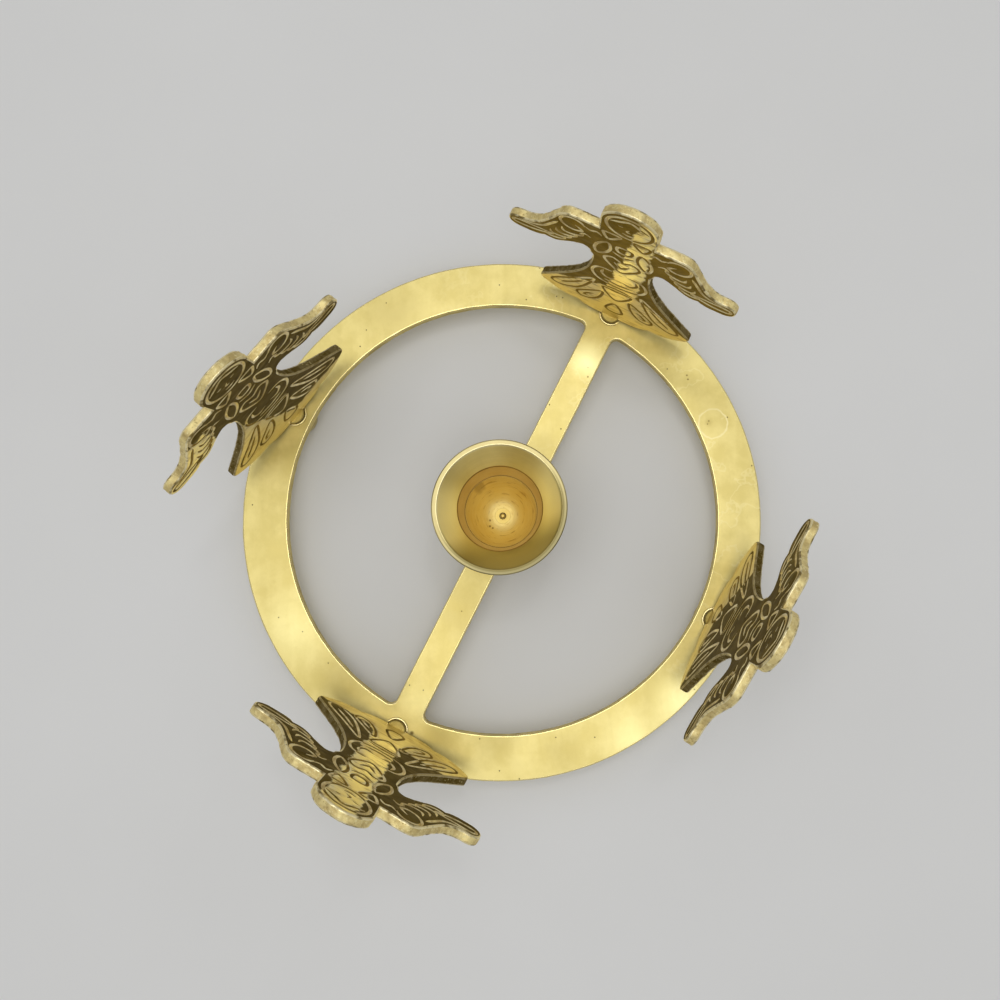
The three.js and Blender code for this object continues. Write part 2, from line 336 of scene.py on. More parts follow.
FEATHER = [(-2.7, 1.2), (-2.3, -0.8), (0, -1.5), (2.3, -0.8), (2.7, 1.2)]
FEATHERS = 4
FEATHER_FROM = (13.4, 55.4)
FEATHER_STEP = (1.5, -2.3)
FEATHER_LEAN = -0.28

# Lines that cross the middle
MIDDLE_LINES = [
    (CLOSED, arc(0, 70.7, 5.6, 0, 360, LINE_STEP, 5.3)[:-1]),
    (OPEN, [(-4.7, 72.1), (-2.4, 73.2), (0, 74.6), (2.4, 73.2), (4.7, 72.1)]),
    (OPEN, [(0, 70.4), (-0.5, 69.2), (0.4, 69)]),
    (OPEN, [(-1.4, 67.7), (0, 67.2), (1.4, 67.7)]),
    (CLOSED, [(-1.7, 58), (1.7, 58), (1.5, 55.2), (-1.5, 55.2)]),
    (OPEN, [(-2.8, 54), (0, 52.4), (2.8, 54)]),
    (CLOSED, [(0, 42), (3.4, 45.2), (4.7, 48.2), (2.6, 50.2), (0, 48.8),
              (-2.6, 50.2), (-4.7, 48.2), (-3.4, 45.2)]),
    (OPEN, [(-2, 47.4), (0, 45), (2, 47.4)]),
    (OPEN, [(-2.2, 40.2), (-6, 39.4), (-7.6, 35.4), (-5.6, 31), (0, 29.6),
            (5.6, 31), (7.6, 35.4), (6, 39.4), (2.2, 40.2)]),
    (OPEN, [(-4, 32.4), (0, 31.6), (4, 32.4)]),
    (OPEN, [(-4.4, 27), (0, 27.8), (4.4, 27)]),
    (CLOSED, [(-4.2, 25.2), (0, 25.8), (4.2, 25.2), (0, 18.4)]),
    (CLOSED, [(0, 14.6), (2.5, 9.4), (1.8, 7.4), (0, 6.9), (-1.8, 7.4), (-2.5, 9.4)]),
]


def carved_lines():
    """Every carved line of a face as (closed, sampled points)."""
    side = list(SIDE_LINES)
    for k in range(FEATHERS):
        x = FEATHER_FROM[0] + k * FEATHER_STEP[0]
        h = FEATHER_FROM[1] + k * FEATHER_STEP[1]
        side.append((OPEN, [(x + dx, h + dh + FEATHER_LEAN * dx) for dx, dh in FEATHER]))
    both = side + [(closed, mirrored(points)) for closed, points in side]
    return [(closed, smooth(points, closed)) for closed, points in both + MIDDLE_LINES]


def line_widths(line, closed):
    """Half width at each point of a line: full along it, drawn to a point at open ends."""
    if closed:
        return [LINE_HALF_W] * len(line)
    along = [0]
    for a, b in zip(line, line[1:]):
        along.append(along[-1] + math.dist(a, b))
    ends = [min(s, along[-1] - s) / LINE_TAPER for s in along]
    return [LINE_HALF_W * min(1, LINE_END_SHARE + (1 - LINE_END_SHARE) * end) for end in ends]


def side_normals(line, closed):
    """Unit normals to the right of a line."""
    count = len(line)
    normals = []
    for i in range(count):
        before = line[i - 1] if closed or i else line[0]
        after = line[(i + 1) % count] if closed or i + 1 < count else line[-1]
        run = Vector((after[0] - before[0], after[1] - before[1])).normalized()
        normals.append(Vector((run.y, -run.x)))
    return normals


def groove_depths(points, lines):
    """How deep the carving is at each point of a face."""
    starts, ends, start_w, end_w = [], [], [], []
    for closed, line in lines:
        widths = line_widths(line, closed)
        for i in range(len(line) if closed else len(line) - 1):
            k = (i + 1) % len(line)
            starts.append(line[i])
            ends.append(line[k])
            start_w.append(widths[i])
            end_w.append(widths[k])
    starts = np.array(starts)
    runs = np.array(ends) - starts
    start_w = np.array(start_w)
    grow = np.array(end_w) - start_w
    squared = (runs ** 2).sum(1)
    depths = []
    for point in np.array(points):
        away = point - starts
        share = np.clip((away * runs).sum(1) / squared, 0, 1)
        gap = np.hypot(*(away - share[:, None] * runs).T)
        width = start_w + share * grow
        bowl = np.clip(1 - (gap / width) ** 2, 0, 1) ** 2
        depths.append((LINE_DEPTH * width / LINE_HALF_W * bowl).max())
    return np.array(depths)


# Plates

def loop_normals(loop):
    """Outward unit normals of a loop that keeps its material on the left, lengthened at corners."""
    normals = []
    for i, here in enumerate(loop):
        after = loop[(i + 1) % len(loop)]
        run_in = Vector((here[0] - loop[i - 1][0], here[1] - loop[i - 1][1])).normalized()
        run_out = Vector((after[0] - here[0], after[1] - here[1])).normalized()
        both = Vector((run_in.y + run_out.y, -run_in.x - run_out.x)).normalized()
        spread = max(CORNER_LEAST, both.dot(Vector((run_out.y, -run_out.x))))
        normals.append(both / spread)
    return normals


def inside(point, loops):
    """Even-odd test of a point against all the loops."""
    x, y = point
    crossings = 0
    for loop in loops:
        ys = loop[:, 1]
        xs = loop[:, 0]
        next_y = np.roll(ys, -1)
        next_x = np.roll(xs, -1)
        spans = (ys > y) != (next_y > y)
        run = next_y[spans] - ys[spans]
        hits = xs[spans] + (y - ys[spans]) * (next_x[spans] - xs[spans]) / run
        crossings += int((hits > x).sum())
    return crossings % 2 == 1


def face_triangles(loops, lines):
    """Triangles of a flat face with its carving: points, their depth, and corner numbers."""
    points, edges = [], []

    def add(run, closed):
        first = len(points)
        points.extend(run)
        count = len(run)
        spans = count if closed else count - 1
        edges.extend((first + i, first + (i + 1) % count) for i in range(spans))

    for loop in loops:
        add(loop, CLOSED)
    for closed, line in lines:
        widths = line_widths(line, closed)
        normals = side_normals(line, closed)
        for rail in RAILS:
            run = [(x + rail * w * n.x, y + rail * w * n.y) for (x, y), w, n in zip(line, widths, normals)]
            add(run, closed)
    found = geometry.delaunay_2d_cdt([Vector(p) for p in points], edges, [], 0, FACE_WELD, False)
    corners = [tuple(p) for p in found[0]]
    rims = [np.array(loop) for loop in loops]
    triangles = [
        tri for tri in found[2]
        if inside(tuple(sum(corners[i][k] for i in tri) / 3 for k in (0, 1)), rims)
    ]
    depths = groove_depths(corners, lines) if lines else np.zeros(len(corners))
    return corners, depths, triangles


def edge_rows(thickness, edge_r):
    """Rows of a plate's side from the top face to the bottom one, as (inset, height)."""
    half = thickness / 2
    bend = swing(90, 0, EDGE_STEPS)
    top = [(edge_r * (1 - math.cos(a)), half - edge_r * (1 - math.sin(a))) for a in bend]
    wall = [(0, (half - edge_r) * (1 - 2 * i / WALL_ROWS)) for i in range(1, WALL_ROWS)]
    return top + wall + [(inset, -height) for inset, height in reversed(top)]


def rough(point, size, amount):
    """Casting roughness at a point, as an offset along its normal."""
    return amount * noise.fractal(Vector(point) / size, *ROUGH_LAYERS)


def plate_mesh(loops, lines, thickness, edge_r, wall_rough, seed=0):
    """A plate with carved faces, rounded edges and cast sides, as points, faces and slot numbers.

    The plate lies in X and Y with its middle at height 0. Slots: 0 face, 1 carving, 2 rounded edge, 3 side.
    wall_rough lists (size, amount) pairs of roughness on the sides.
    """
    rows = edge_rows(thickness, edge_r)
    rims = []
    for loop in loops:
        normals = loop_normals(loop)
        rims.append([(x - edge_r * n.x, y - edge_r * n.y) for (x, y), n in zip(loop, normals)])
    corners, depths, triangles = face_triangles(rims, lines)

    points, faces, slots = [], [], []
    for side in (1, -1):
        first = len(points)
        points += [(x, y, side * (thickness / 2 - d)) for (x, y), d in zip(corners, depths)]
        for tri in triangles:
            turn = tri if side > 0 else tri[::-1]
            faces.append(tuple(first + i for i in turn))
            slots.append(1 if depths[list(tri)].max() > LINE_CORE_SHARE * LINE_DEPTH else 0)

    for loop in loops:
        normals = loop_normals(loop)
        first = len(points)
        count = len(loop)
        for number, (inset, height) in enumerate(rows):
            at_face = number in (0, len(rows) - 1)
            for (x, y), n in zip(loop, normals):
                spot = (x, y, height + seed)
                out = 0 if at_face else sum(rough(spot, size, amount) for size, amount in wall_rough)
                points.append((x + (out - inset) * n.x, y + (out - inset) * n.y, height))
        for number in range(len(rows) - 1):
            rounded = number < EDGE_STEPS or number >= len(rows) - 1 - EDGE_STEPS
            for i in range(count):
                k = (i + 1) % count
                low = first + (number + 1) * count
                high = first + number * count
                faces.append((high + i, low + i, low + k, high + k))
                slots.append(2 if rounded else 3)
    return points, faces, slots


def put(name, data):
    """A new object in the scene."""
    thing = bpy.data.objects.new(name, data)
    bpy.context.scene.collection.objects.link(thing)
    return thing


def metre_mesh(name, points, faces, slots, finishes):
    """A mesh in metres from points in millimetres, with one finish for each slot number."""
    mesh = bpy.data.meshes.new(name)
    mesh.from_pydata([tuple(MM * c for c in p) for p in points], [], faces)
    for finish in finishes:
        mesh.materials.append(finish)
    mesh.polygons.foreach_set("material_index", slots)
    return mesh


def mesh_piece(name, points, faces, slots, finishes, place):
    """A Blender object at its place, with doubled points merged."""
    mesh = metre_mesh(name, points, faces, slots, finishes)
    work = bmesh.new()
    work.from_mesh(mesh)
    bmesh.ops.remove_doubles(work, verts=work.verts, dist=MESH_WELD)
    bmesh.ops.dissolve_degenerate(work, edges=work.edges, dist=SLIVER)
    work.to_mesh(mesh)
    work.free()
    mesh.shade_smooth()
    piece = put(name, mesh)
    piece.matrix_world = place
    return piece


def combine(piece, other_mesh, operation):
    """Joins a mesh to a piece, or cuts it away, leaving one clean body."""
    other = put("joiner", other_mesh)
    other.matrix_world = piece.matrix_world
    step = piece.modifiers.new("combine", "BOOLEAN")
    step.operation = operation
    step.object = other
    step.solver = "MANIFOLD"
    bpy.context.view_layer.update()
    whole = bpy.data.meshes.new_from_object(piece.evaluated_get(bpy.context.evaluated_depsgraph_get()))
    piece.modifiers.remove(step)
    piece.data = whole
    bpy.data.objects.remove(other)
    whole.shade_smooth()
    return piece


def soften(piece, sharp_deg):
    """Smooth shading that keeps flat faces flat and hard corners hard."""
    piece.data.set_sharp_from_angle(angle=math.radians(sharp_deg))
    weighted = piece.modifiers.new("flat_faces", "WEIGHTED_NORMAL")
    weighted.keep_sharp = True
    return piece


def fit(piece, body, slot, *nodes):
    """Rides a piece on its body, in place of its CAD nodes."""
    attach(piece, body)
    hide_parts(*nodes)
    return piece


# Turned pieces

ON_AXIS = 1e-6

# A small step beside a turned corner
EASE = 0.1


def round_over(x, y, radius, from_deg, to_deg, steps=6):
    """A rounded corner of a profile."""
    return [(x + radius * math.cos(a), y + radius * math.sin(a)) for a in swing(from_deg, to_deg, steps)]


def turned(stretches, sides):
    """A lathe piece, as points, faces and slot numbers.

    The stretches are (slot number, (radius, height) pairs). They make a closed loop, or a run that starts
    and ends on the axis.
    """
    profile = [pair for slot, pairs in stretches for pair in pairs]
    slots = [slot for slot, pairs in stretches for pair in pairs]
    points, rings = [], []
    for radius, height in profile:
        first = len(points)
        if radius < ON_AXIS:
            points.append((0, 0, height))
            rings.append([first] * sides)
            continue
        angles = [2 * math.pi * i / sides for i in range(sides)]
        points += [(radius * math.cos(a), radius * math.sin(a), height) for a in angles]
        rings.append(list(range(first, first + sides)))
    spans = len(profile) - 1 if profile[0][0] < ON_AXIS else len(profile)
    faces, numbers = [], []
    for i in range(spans):
        low = rings[i]
        high = rings[(i + 1) % len(profile)]
        for a in range(sides):
            b = (a + 1) % sides
            corners = [low[a], low[b], high[b], high[a]]
            face = [c for k, c in enumerate(corners) if c not in corners[:k]]
            if len(face) > 2:
                faces.append(face)
                numbers.append(slots[i])
    return points, faces, numbers


# Shader arithmetic

NOISE_ROUGHNESS = 0.55


class Signal:
    """One output of a finish's nodes, ready for Python arithmetic."""

    def __init__(self, finish, socket):
        self.finish = finish
        self.socket = socket

    def math(self, operation, *values):
        return self.finish.node("ShaderNodeMath", {"operation": operation}, dict(enumerate(values)))

    def __add__(self, other):
        return self.math("ADD", self, other)

    __radd__ = __add__

    def __sub__(self, other):
        return self.math("SUBTRACT", self, other)

    def __rsub__(self, other):
        return self.math("SUBTRACT", other, self)

    def __mul__(self, other):
        return self.math("MULTIPLY", self, other)

    __rmul__ = __mul__


class Finish:
    """A metal finish: a material and the nodes that make it."""

    def __init__(self, name):
        self.material = bpy.data.materials.new(name)
        self.material.use_nodes = True
        self.tree = self.material.node_tree
        self.shader = self.tree.nodes["Principled BSDF"]
        local = self.node("ShaderNodeTexCoord", output="Object")
        self.place = self.node("ShaderNodeVectorMath", {"operation": "SCALE"}, {0: local, "Scale": 1 / MM})

    def node(self, kind, settings=None, inputs=None, output=0):
        made = self.tree.nodes.new(kind)
        for key, value in (settings or {}).items():
            setattr(made, key, value)
        for key, value in (inputs or {}).items():
            self.plug(made.inputs[key], value)
        return Signal(self, made.outputs[output])

    def plug(self, socket, value):
        if isinstance(value, Signal):
            self.tree.links.new(value.socket, socket)
        else:
            socket.default_value = (*value, 1) if socket.type == "RGBA" else value

    def wear(self, **sockets):
        """Sets the shader's sockets, named with underscores."""
        for key, value in sockets.items():
            self.plug(self.shader.inputs[key.replace("_", " ").title().replace("Ior", "IOR")], value)
        return self.material

    def metal(self, tone, roughness, normal):
        return self.wear(base_color=tone, metallic=1, roughness=roughness, normal=normal)

    def axis(self, letter, place=None):
        return self.node("ShaderNodeSeparateXYZ", inputs={0: place or self.place}, output=letter)

    def stretched(self, x, y, z, turn_deg=0):
        """The place with each axis divided by a size, for a grain that runs one way."""
        settings = {"vector_type": "TEXTURE"}
        inputs = {"Vector": self.place, "Scale": (x, y, z), "Rotation": (0, 0, math.radians(turn_deg))}
        return self.node("ShaderNodeMapping", settings, inputs)

    def noise(self, size, detail, place=None, shift=0):
        """Clouds of a size, from 0 to 1."""
        inputs = {"Vector": place or self.place, "W": shift, "Scale": 1 / size}
        inputs.update({"Detail": detail, "Roughness": NOISE_ROUGHNESS})
        return self.node("ShaderNodeTexNoise", {"noise_dimensions": "4D"}, inputs)

    def step(self, value, low, high):
        """A soft step from 0 at low to 1 at high, either way round."""
        if low > high:
            return 1 - self.step(value, high, low)
        inputs = {"Value": value, "From Min": low, "From Max": high}
        return self.node("ShaderNodeMapRange", {"interpolation_type": "SMOOTHSTEP"}, inputs)

    def blend(self, mask, first, second):
        """Colour first where the mask is 0, second where it is 1."""
        inputs = {0: mask, 6: first, 7: second}
        return self.node("ShaderNodeMix", {"data_type": "RGBA"}, inputs, 2)

    def specks(self, size, radius, share, shift=0, level=False):
        """Scattered dots, 1 inside a dot: cells of a size, a dot radius, and the share of cells with one.

        On a level face the dots lie in the piece's plan.
        """
        settings = {"voronoi_dimensions": "2D" if level else "4D"}
        inputs = {"Vector": self.place, "Scale": 1 / size}
        if not level:
            inputs["W"] = shift
        gap = self.node("ShaderNodeTexVoronoi", settings, inputs, "Distance")
        chance = self.axis("X", self.node("ShaderNodeTexVoronoi", settings, inputs, "Color"))
        return self.step(gap, radius / size, 0.5 * radius / size) * self.step(chance, share, 0.9 * share)

    def gap_from(self, x=0, y=0):
        """How far a place is from (x, y) in the piece's plan."""
        away = self.node("ShaderNodeVectorMath", {"operation": "SUBTRACT"}, {0: self.place, 1: (x, y, 0)})
        flat = self.node("ShaderNodeVectorMath", {"operation": "MULTIPLY"}, {0: away, 1: (1, 1, 0)})
        return self.node("ShaderNodeVectorMath", {"operation": "LENGTH"}, {0: flat}, "Value")

    def dot(self, x, y, radius, soft, wobble=0):
        """1 within a radius of a place, fading out over its soft share.

        The place is in millimetres to the picture's right and towards its top, and the wobble makes the dot
        less round.
        """
        spot = in_picture(x, y, 0) / MM
        gap = self.gap_from(spot.x, spot.y)
        if wobble:
            gap = gap + (self.noise(3.2, 2, shift=13) - 0.5) * wobble
        return self.step(gap, radius, radius * (1 - soft))

    def towards(self, angle_deg, low, high):
        """A soft step across the piece's plan, 0 at low and 1 at high along an angle of the picture."""
        angle = math.radians(angle_deg)
        way = in_picture(math.cos(angle), math.sin(angle), 0) / MM
        return self.step(self.axis("X") * way.x + self.axis("Y") * way.y, low, high)

    def bump(self, height, strength, distance_mm):
        inputs = {"Strength": strength, "Distance": distance_mm * MM, "Height": height}
        return self.node("ShaderNodeBump", inputs=inputs)


def dimmed(colour, share):
    """A colour with a share of its light."""
    return tuple(share * part for part in colour)


# Linear colours of the metal and its wear

# Ring and feet
PALE_BRASS = (0.86, 0.73, 0.3)
SATIN_BRASS = (0.7, 0.58, 0.21)
OLIVE_BRASS = (0.46, 0.36, 0.11)
FILED_BRASS = (0.88, 0.74, 0.38)
HIGHLIGHT_BRASS = (1, 0.93, 0.48)
PALE_STAIN = (0.98, 0.88, 0.5)
PIT = (0.08, 0.055, 0.02)
BROWN_PIT = (0.2, 0.13, 0.03)

# Cup and screw
LIP_PALE = (0.63, 0.54, 0.26)
LIP_SATIN = (0.56, 0.47, 0.22)
LIP_SHADED_SIDE = (0.32, 0.28, 0.14)
LIP_SHADE = (0.24, 0.2, 0.08)
FUNNEL_BRASS = (0.88, 0.71, 0.27)
FUNNEL_SATIN = (0.77, 0.61, 0.22)
FUNNEL_PAINTED_SHADE = (0.58, 0.46, 0.17)
FUNNEL_HIGHLIGHT = (0.86, 0.74, 0.34)
FUNNEL_SHADE = (0.29, 0.235, 0.08)
RIM_HIGHLIGHT = (0.86, 0.76, 0.42)
RIM_SHADE = (0.22, 0.18, 0.07)
MOUTH_BROWN = (0.5, 0.34, 0.12)
MOUTH_DARK = (0.38, 0.24, 0.08)
SOCKET_PALE = (0.84, 0.69, 0.36)
SOCKET_AMBER = (0.76, 0.59, 0.27)
# The socket's ledge is painted dark as painted shade in its step
LEDGE_SHADE = (0.44, 0.29, 0.09)
LEDGE_DEEP_SHADE = (0.36, 0.23, 0.07)
BOWL_PALE = (0.91, 0.77, 0.37)
BOWL_AMBER = (0.86, 0.69, 0.27)
BOWL_BRIGHT = (0.98, 0.82, 0.4)
BOWL_BROWN = (0.42, 0.23, 0.05)
BOWL_SPECK = (0.26, 0.15, 0.035)
SCREW_BRASS = (0.73, 0.58, 0.2)
SCREW_SATIN = (0.63, 0.48, 0.15)
# The nib's groove is painted dark as painted shade in the groove
GROOVE_SHADE = (0.24, 0.17, 0.05)
GROOVE_DEEP_SHADE = (0.16, 0.11, 0.03)

# Angels
# Angel faces carry painted reflections: the dark tones stand for a polished face reflecting dark
# surroundings
PAINTED_DARK = (0.095, 0.063, 0.011)
PAINTED_BROWN = (0.145, 0.1, 0.022)
PAINTED_DARK_RIPPLE = (0.26, 0.185, 0.055)
TAN_REFLECTION = (0.66, 0.51, 0.21)
HEAD_HIGHLIGHT_GOLD = (1, 0.88, 0.45)
HEM_REFLECTION_GOLD = (0.52, 0.41, 0.15)
RIPPLED_GOLD = (0.42, 0.29, 0.08)
CUT_HIGHLIGHT = (0.94, 0.81, 0.46)
CUT_STAINED_HIGHLIGHT = (0.56, 0.43, 0.19)
CUT_SHADE = (0.34, 0.22, 0.05)
CORNER_WEAR_AND_HIGHLIGHT = (0.94, 0.83, 0.5)
CORNER_DARK = (0.27, 0.2, 0.07)
CAST_BRASS = (0.9, 0.77, 0.38)
CAST_TAN = (0.62, 0.48, 0.2)
CAST_STAIN = (0.5, 0.39, 0.18)
CAST_GLINT = (0.98, 0.9, 0.54)
CAST_HOLLOW = (0.4, 0.29, 0.1)
SHADED_SKIRT_EDGE = (0.16, 0.12, 0.045)
SHADED_SKIRT_GLINT = (0.55, 0.45, 0.2)
BOSS_BRASS = (0.66, 0.52, 0.17)
BOSS_TARNISH = (0.46, 0.35, 0.1)
BOSS_RIM = (0.92, 0.8, 0.46)

# Floor
FLOOR_GREY = (0.74, 0.74, 0.73)
FLOOR_PALE = (0.78, 0.78, 0.77)

# How strongly the parts painted dark shine, far below bare metal
PAINTED_DARK_GLOSS = 0.005


# Marks on the ring's top, in millimetres to the picture's right and top: a faint drip ring, tide marks,
# then pits as (x, y, radius), and as (x, y, radius, strength) places made smoother and painted brighter as
# painted highlights, and places painted darker as painted shade and reflection
DRIP_AT = (61.2, 27.3)
DRIP_R = 4.7
DRIP_INNER_R = 0.91 * DRIP_R
DRIP_WOBBLE = 1.8
TIDE_SIDE_DEG = 25
PITS = [
    (53.8, 41.6, 0.42), (54.1, 40.4, 0.42), (60.1, 28, 0.34), (59.7, 27.1, 0.3), (24.5, 41, 0.4),
    (-25.6, -61.4, 0.8),
]
# Painted highlights: each place is made smoother and painted brighter
RUBBED_AND_HIGHLIT_SPOTS = [
    (25, 46.5, 8, 0.8), (-24, -54, 9, 0.3), (52, -53, 13, 0.5), (37, -64, 13, 0.35), (-60, -33, 15, 0.3),
]
RUBBED_SHINE = 0.2
# Painted shade and reflection: spots painted darker, several beside the angels and on the bar by the cup;
# the small last one lies in the drip ring
PAINTED_SHADE_SPOTS = [
    (-46, -48, 13, 0.55), (47, 48, 13, 0.4), (-1, -63, 9, 0.45), (-17, -63, 8, 0.4), (60, 33, 12, 0.3),
    (-34, 60, 15, 0.4), (16, -66, 10, 0.25), (-10.5, -27, 17, 0.5), (12, 21, 7, 0.3), (60, 27.6, 1.8, 0.5),
]


def ring_face():
    """Hand-rubbed satin brass: soft blotches, faint scratches, small pits, and the marks above."""
    f = Finish("ring_face")
    blotch = f.noise(22, 4)
    cloud = f.noise(5, 5, shift=3)
    scratch = f.noise(1, 2, f.stretched(14, 0.12, 3, 35), 5)
    crossed = f.noise(1, 2, f.stretched(10, 0.1, 3, -50), 9)
    lines = f.step(scratch, 0.62, 0.74) + f.step(crossed, 0.64, 0.76)
    pits = f.specks(5, 0.24, 0.16, level=True)
    streak = f.noise(1, 3, f.stretched(18, 2.4, 4, 28), 11)
    tone = f.blend(f.step(blotch * 0.4 + cloud * 0.48 + streak * 0.12, 0.39, 0.61), SATIN_BRASS, PALE_BRASS)
    tone = f.blend(lines * 0.12, tone, PALE_BRASS)
    tone = f.blend(pits, tone, PIT)
    normal = f.bump(f.noise(0.5, 3) * 0.35 + cloud * 0.9 - lines * 0.3 - pits * 2, 0.22, 0.12)
    roughness = 0.48 + (cloud - 0.5) * 0.16 + lines * 0.06

    drip_inside = f.dot(*DRIP_AT, DRIP_INNER_R, 0.1, DRIP_WOBBLE)
    drip = f.dot(*DRIP_AT, DRIP_R, 0.1, DRIP_WOBBLE) * (1 - drip_inside)
    tide = f.noise(11, 4, shift=21)
    tide_line = f.step(tide, 0.54, 0.552) * f.step(tide, 0.575, 0.56)
    tide_line = tide_line * f.towards(TIDE_SIDE_DEG, -10, 50)
    tone = f.blend(drip * 0.65 + tide_line * 0.22, tone, PALE_STAIN)
    # Each highlight spot lowers the roughness and paints a highlight into the colour
    for x, y, radius, strength in RUBBED_AND_HIGHLIT_SPOTS:
        rubbed_and_highlit = f.dot(x, y, radius, 1) * strength
        tone = f.blend(rubbed_and_highlit, tone, HIGHLIGHT_BRASS)
        roughness = roughness - rubbed_and_highlit * RUBBED_SHINE
    # Painted shade: each spot is darkened towards olive brass
    for x, y, radius, strength in PAINTED_SHADE_SPOTS:
        tone = f.blend(f.dot(x, y, radius, 1) * strength, tone, OLIVE_BRASS)
    for x, y, radius in PITS:
        tone = f.blend(f.dot(x, y, radius, 0.8) * 0.85, tone, BROWN_PIT)
    return f.metal(tone, roughness, normal)


def filed_edge():
    f = Finish("filed_edge")
    nick = f.noise(1.4, 3)
    tone = f.blend(f.step(nick, 0.3, 0.75), PALE_BRASS, FILED_BRASS)
    normal = f.bump(nick, 0.3, 0.12)
    return f.metal(tone, 0.2 + nick * 0.12, normal)


def ring_side():
    f = Finish("ring_side")
    grain = f.noise(0.9, 4)
    stain = f.noise(6, 3, shift=2)
    tone = f.blend(f.step(stain, 0.35, 0.7), SATIN_BRASS, OLIVE_BRASS)
    normal = f.bump(grain, 0.5, 0.25)
    return f.metal(tone, 0.38 + grain * 0.2, normal)


def turned_finish(name, base, deep, roughness, pitch=0.55):
    """Lathe-turned brass with soft tarnish and faint tool marks about the piece's upright axis."""
    f = Finish(name)
    radius = f.gap_from()
    wave = (radius + f.noise(3, 2, shift=7) * 0.5) * (2 * math.pi / pitch)
    marks = wave.math("SINE", wave)
    band_place = f.node("ShaderNodeCombineXYZ", inputs={"X": radius * 0.9, "Y": f.axis("Z") * 0.9})
    bands = f.noise(1, 3, band_place, 4)
    tarnish = f.noise(7, 4, shift=1)
    tone = f.blend(f.step(tarnish * 0.65 + bands * 0.35, 0.36, 0.66), base, deep)
    specks = f.specks(3.4, 0.26, 0.12, 2)
    tone = f.blend(specks, tone, PIT)
    normal = f.bump(marks * 0.3 + f.noise(0.6, 2) * 0.5, 0.14, 0.06)
    return f, tone, roughness + (bands - 0.5) * 0.14, normal


def turned_brass(name, base, deep, roughness):
    f, tone, roughness, normal = turned_finish(name, base, deep, roughness)
    return f.metal(tone, roughness, normal)


# Sides of the picture towards which the cup's mouth gets painted highlights and painted shade, as angles
# from its right
HIGHLIT_SIDES_DEG = (0, 180)
PAINTED_SHADE_SIDE_DEG = 320
SHADED_SIDE_DEG = 285
HIGHLIT_RIM_SIDE_DEG = 120
SHADED_RIM_SIDE_DEG = 300


def cup_funnel():
    """The cup's funnel: painted highlights at the picture's left and right and under the lip towards the
    upper left, painted shade below.
    """
    f, tone, roughness, normal = turned_finish("cup_funnel", FUNNEL_BRASS, FUNNEL_SATIN, 0.36)
    # Painted shade towards the picture's lower right
    tone = f.blend(f.towards(PAINTED_SHADE_SIDE_DEG, -8, 3) * 0.9, tone, FUNNEL_PAINTED_SHADE)
    # Painted highlights at the picture's left and right
    for side_deg in HIGHLIT_SIDES_DEG:
        tone = f.blend(f.towards(side_deg, 7.5, 13) * 0.75, tone, FUNNEL_HIGHLIGHT)
    tone = f.blend(f.towards(SHADED_SIDE_DEG, 4, 12) * 0.85, tone, FUNNEL_SHADE)
    near_lip = f.step(f.gap_from(), CUP_RIM_R - 2, CUP_RIM_R - LIP_W)
    # Painted highlight just under the lip towards the upper left
    tone = f.blend(near_lip * f.towards(HIGHLIT_RIM_SIDE_DEG, -2, 10), tone, RIM_HIGHLIGHT)
    # Painted shade just under the lip on the side turned from the light
    tone = f.blend(near_lip * f.towards(SHADED_RIM_SIDE_DEG, -8, 8) * 0.9, tone, RIM_SHADE)
    return f.metal(tone, roughness, normal)


def cup_lip():
    """The cup's lip: painted shade on the side turned from the light, deeper on its inner edge there."""
    f, tone, roughness, normal = turned_finish("cup_lip", LIP_PALE, LIP_SATIN, 0.45)
    # Painted shade on the lip's side turned from the light
    tone = f.blend(f.towards(SHADED_RIM_SIDE_DEG, -4, CUP_RIM_R) * 0.9, tone, LIP_SHADED_SIDE)
    # Deeper painted shade on the inner edge of the lip on that side
    within = f.step(f.gap_from(), CUP_RIM_R - 0.6, CUP_RIM_R - 1)
    tone = f.blend(within * f.towards(SHADED_RIM_SIDE_DEG, -8, 8) * 0.9, tone, LIP_SHADE)
    return f.metal(tone, roughness, normal)


# Specks and stains in the bowl, in millimetres to the picture's right and top: (x, y, radius, strength)
BOWL_SPECKS = [
    (-3.6, -1.3, 0.45, 0.9), (-3.6, -3, 0.45, 0.9), (-2.8, -3.5, 0.4, 0.9), (-6.6, 6.6, 1.6, 0.4),
    (-5.4, 7.4, 1.1, 0.35),
]


def socket_bowl():
    """Heat-tarnished bowl of the socket: amber up its side, painted darker round the screw as painted shade
    over the highlight there, a few dark specks.
    """
    f, tone, roughness, normal = turned_finish("socket_bowl", BOWL_PALE, BOWL_AMBER, 0.56, 0.9)
    radius = f.gap_from()
    # Painted shade round the screw, where the bowl shines brightest
    tone = f.blend(f.step(radius, 4.4, 1.8) * 0.75, tone, SCREW_BRASS)
    turn = radius.math("ARCTAN2", f.axis("Y"), f.axis("X"))
    arc_place = f.node("ShaderNodeCombineXYZ", inputs={"X": radius * 2.4, "Y": turn * 1.6})
    arcs = f.noise(1, 3, arc_place, 6)
    tone = f.blend(f.step(arcs, 0.56, 0.68) * 0.55, tone, BOWL_BROWN)
    tone = f.blend(f.step(arcs, 0.44, 0.34) * 0.4, tone, BOWL_BRIGHT)
    for x, y, size, strength in BOWL_SPECKS:
        tone = f.blend(f.dot(x, y, size, 0.8) * strength, tone, BOWL_SPECK)
    return f.metal(tone, roughness, normal)


